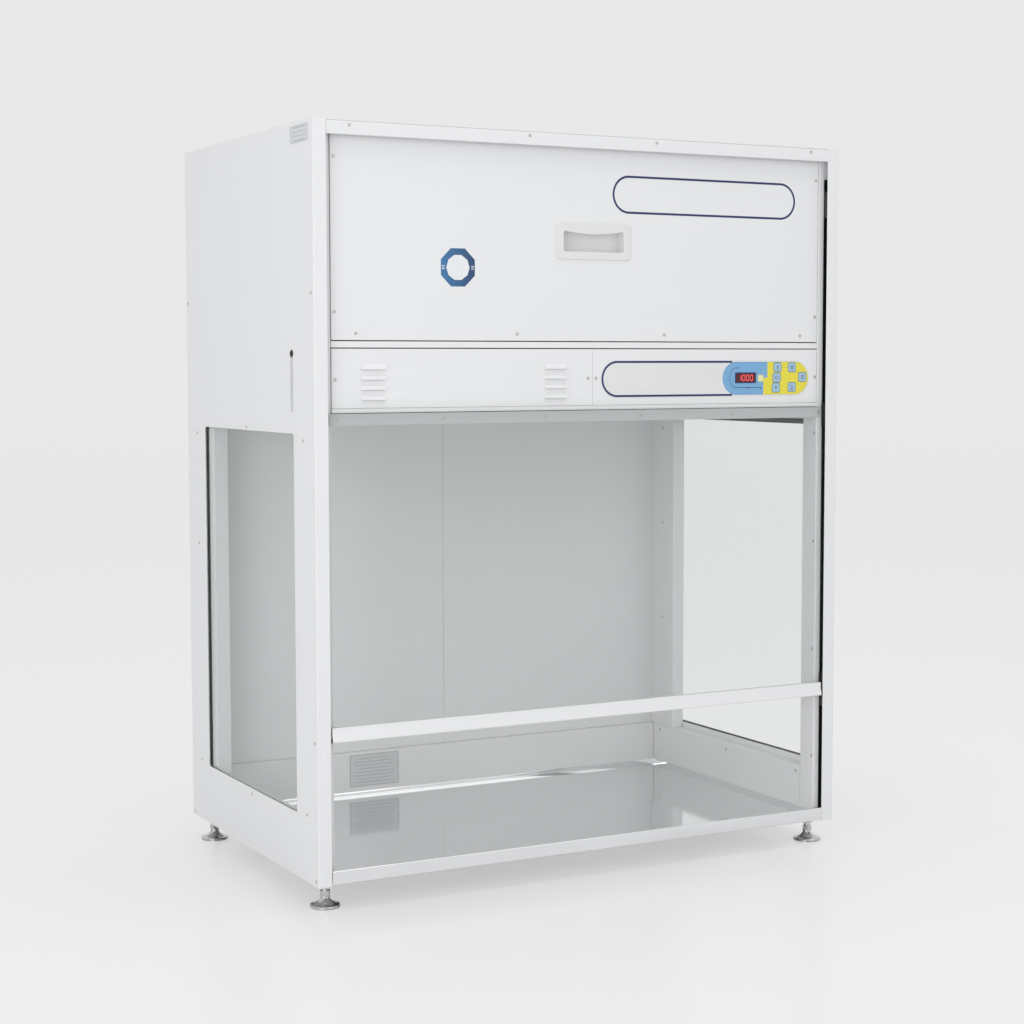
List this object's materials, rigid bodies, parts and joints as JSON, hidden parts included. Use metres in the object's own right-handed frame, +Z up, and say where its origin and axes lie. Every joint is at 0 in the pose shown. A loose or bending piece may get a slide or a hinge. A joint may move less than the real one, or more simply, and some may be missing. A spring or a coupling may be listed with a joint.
{
  "type": "ductless fume hood",
  "caption": "Bench fume hood with a counterbalanced vertical glass sash, side windows, polished worktop tray, filter bay with fan on top, keypad and levelling feet.",
  "frame": {"origin": "centre of the footprint, on the plane under the levelling feet", "axes": "+X to the right and +Y to the back as the user sees it, +Z up"},
  "size_m": [1.2024, 0.7224, 1.49],
  "materials": {
    "white_enamel": "textured powder coat",
    "grey_enamel": "powder coat",
    "polished_steel": "mirror polished stainless steel",
    "bright_steel": "galvanised sheet",
    "zinc_steel": "zinc plated",
    "steel_cable": "stranded stainless steel",
    "anodised_aluminium": "anodised",
    "white_aluminium": "powder coated extrusion",
    "clear_glass": "clear float glass",
    "black_rubber": "matt",
    "black_nylon": "moulded nylon",
    "white_plastic": "moulded",
    "key_plastic": "fine texture",
    "circuit_board": "solder resist",
    "filter_media": "pleated media in a frame",
    "black_fan": "black enamel",
    "chrome_foot": "bright plated, rubber underside"
  },
  "bodies": {
    "cabinet": {"back_wall_left": "white_enamel", "back_wall_right": "white_enamel", "base_frame": "white_enamel", "cabinet_screws": "zinc_steel", "cable_grommet": "black_rubber", "carbon_filter": "filter_media", "chamber_ceiling": "white_enamel", "control_overlay": "white_plastic", "control_panel": "white_enamel", "controller_board": "circuit_board", "exhaust_grille": "anodised_aluminium", "fan_deck": "bright_steel", "fan_motor": "black_fan", "filter_access_panel": "white_enamel", "filter_shelf": "white_enamel", "flush_pull_handle": "white_plastic", "front_post_left": "white_enamel", "front_post_right": "white_enamel", "head_strip": "grey_enamel", "hepa_filter": "filter_media", "lamp": "white_plastic", "louvre_panel": "white_enamel", "lower_back_panel": "white_enamel", "power_inlet": "black_nylon", "prefilter": "filter_media", "rear_corner_posts": "white_enamel", "rear_panel": "white_enamel", "sash_cable_wraps": "steel_cable", "sash_cables_front": "steel_cable", "sash_cables_rear": "steel_cable", "sash_channels": "anodised_aluminium", "sash_stops": "black_nylon", "side_liners": "white_enamel", "side_panel_left": "white_enamel", "side_panel_right": "white_enamel", "side_window_left": "clear_glass", "side_window_right": "clear_glass", "top_panel": "white_enamel", "top_rail": "white_enamel", "window_gaskets": "black_rubber", "worktop_tray": "polished_steel"},
    "sash": {"sash_glass": "clear_glass", "sash_handle_bar": "white_aluminium", "sash_guides": "black_nylon"},
    "counterweight_left": {"counterweight_left": "zinc_steel"},
    "counterweight_right": {"counterweight_right": "zinc_steel"},
    "sheave_left": {"sheave_left": "bright_steel"},
    "sheave_right": {"sheave_right": "bright_steel"},
    "fan": {"fan_impeller": "black_fan"},
    "key_1": {"key_1": "key_plastic"},
    "key_2": {"key_2": "key_plastic"},
    "key_3": {"key_3": "key_plastic"},
    "key_4": {"key_4": "key_plastic"},
    "key_5": {"key_5": "key_plastic"},
    "key_6": {"key_6": "key_plastic"},
    "lamp_key": {"lamp_key": "key_plastic"},
    "foot_front_left": {"foot_front_left": "chrome_foot"},
    "foot_front_right": {"foot_front_right": "chrome_foot"},
    "foot_rear_left": {"foot_rear_left": "chrome_foot"},
    "foot_rear_right": {"foot_rear_right": "chrome_foot"}
  },
  "joints": [
    {"name": "sash_slide", "type": "slide", "parent": "cabinet", "child": "sash", "axis": [0, 0, 1], "range_m": [0, 0.39], "deforming": ["sash_cables_front"]},
    {"name": "counterweight_left_slide", "type": "slide", "parent": "cabinet", "child": "counterweight_left", "axis": [0, 0, 1], "range_m": [-0.39, 0], "deforming": ["sash_cables_rear"]},
    {"name": "counterweight_right_slide", "type": "slide", "parent": "cabinet", "child": "counterweight_right", "axis": [0, 0, 1], "range_m": [-0.39, 0]},
    {"name": "sheave_left_spin", "type": "hinge", "parent": "cabinet", "child": "sheave_left", "pos_m": [-0.5903, -0.3345, 1.45], "axis": [-1, 0, 0], "range_deg": [0, 1442]},
    {"name": "sheave_right_spin", "type": "hinge", "parent": "cabinet", "child": "sheave_right", "pos_m": [0.5903, -0.3345, 1.45], "axis": [-1, 0, 0], "range_deg": [0, 1442]},
    {"name": "fan_spin", "type": "hinge", "parent": "cabinet", "child": "fan", "pos_m": [0, -0.01, 1.35], "axis": [0, 0, 1], "continuous": true},
    {"name": "key_1_press", "type": "slide", "parent": "cabinet", "child": "key_1", "axis": [0, 1, 0], "range_m": [0, 0.0005], "stiffness_N_per_m": 1500, "springref_m": -0.0003},
    {"name": "key_2_press", "type": "slide", "parent": "cabinet", "child": "key_2", "axis": [0, 1, 0], "range_m": [0, 0.0005], "stiffness_N_per_m": 1500, "springref_m": -0.0003},
    {"name": "key_3_press", "type": "slide", "parent": "cabinet", "child": "key_3", "axis": [0, 1, 0], "range_m": [0, 0.0005], "stiffness_N_per_m": 1500, "springref_m": -0.0003},
    {"name": "key_4_press", "type": "slide", "parent": "cabinet", "child": "key_4", "axis": [0, 1, 0], "range_m": [0, 0.0005], "stiffness_N_per_m": 1500, "springref_m": -0.0003},
    {"name": "key_5_press", "type": "slide", "parent": "cabinet", "child": "key_5", "axis": [0, 1, 0], "range_m": [0, 0.0005], "stiffness_N_per_m": 1500, "springref_m": -0.0003},
    {"name": "key_6_press", "type": "slide", "parent": "cabinet", "child": "key_6", "axis": [0, 1, 0], "range_m": [0, 0.0005], "stiffness_N_per_m": 1500, "springref_m": -0.0003},
    {"name": "lamp_key_press", "type": "slide", "parent": "cabinet", "child": "lamp_key", "axis": [0, 1, 0], "range_m": [0, 0.0005], "stiffness_N_per_m": 1500, "springref_m": -0.0003},
    {"name": "foot_front_left_screw", "type": "slide", "parent": "cabinet", "child": "foot_front_left", "axis": [0, 0, -1], "range_m": [-0.004, 0.025]},
    {"name": "foot_front_right_screw", "type": "slide", "parent": "cabinet", "child": "foot_front_right", "axis": [0, 0, -1], "range_m": [-0.004, 0.025]},
    {"name": "foot_rear_left_screw", "type": "slide", "parent": "cabinet", "child": "foot_rear_left", "axis": [0, 0, -1], "range_m": [-0.004, 0.025]},
    {"name": "foot_rear_right_screw", "type": "slide", "parent": "cabinet", "child": "foot_rear_right", "axis": [0, 0, -1], "range_m": [-0.004, 0.025]}
  ],
  "couplings": [
    {"joint": "counterweight_left_slide", "follows": "sash_slide", "ratio": -1},
    {"joint": "counterweight_right_slide", "follows": "sash_slide", "ratio": -1},
    {"joint": "sheave_left_spin", "follows": "sash_slide", "rad_per_m": 64.516},
    {"joint": "sheave_right_spin", "follows": "sash_slide", "rad_per_m": 64.516}
  ]
}
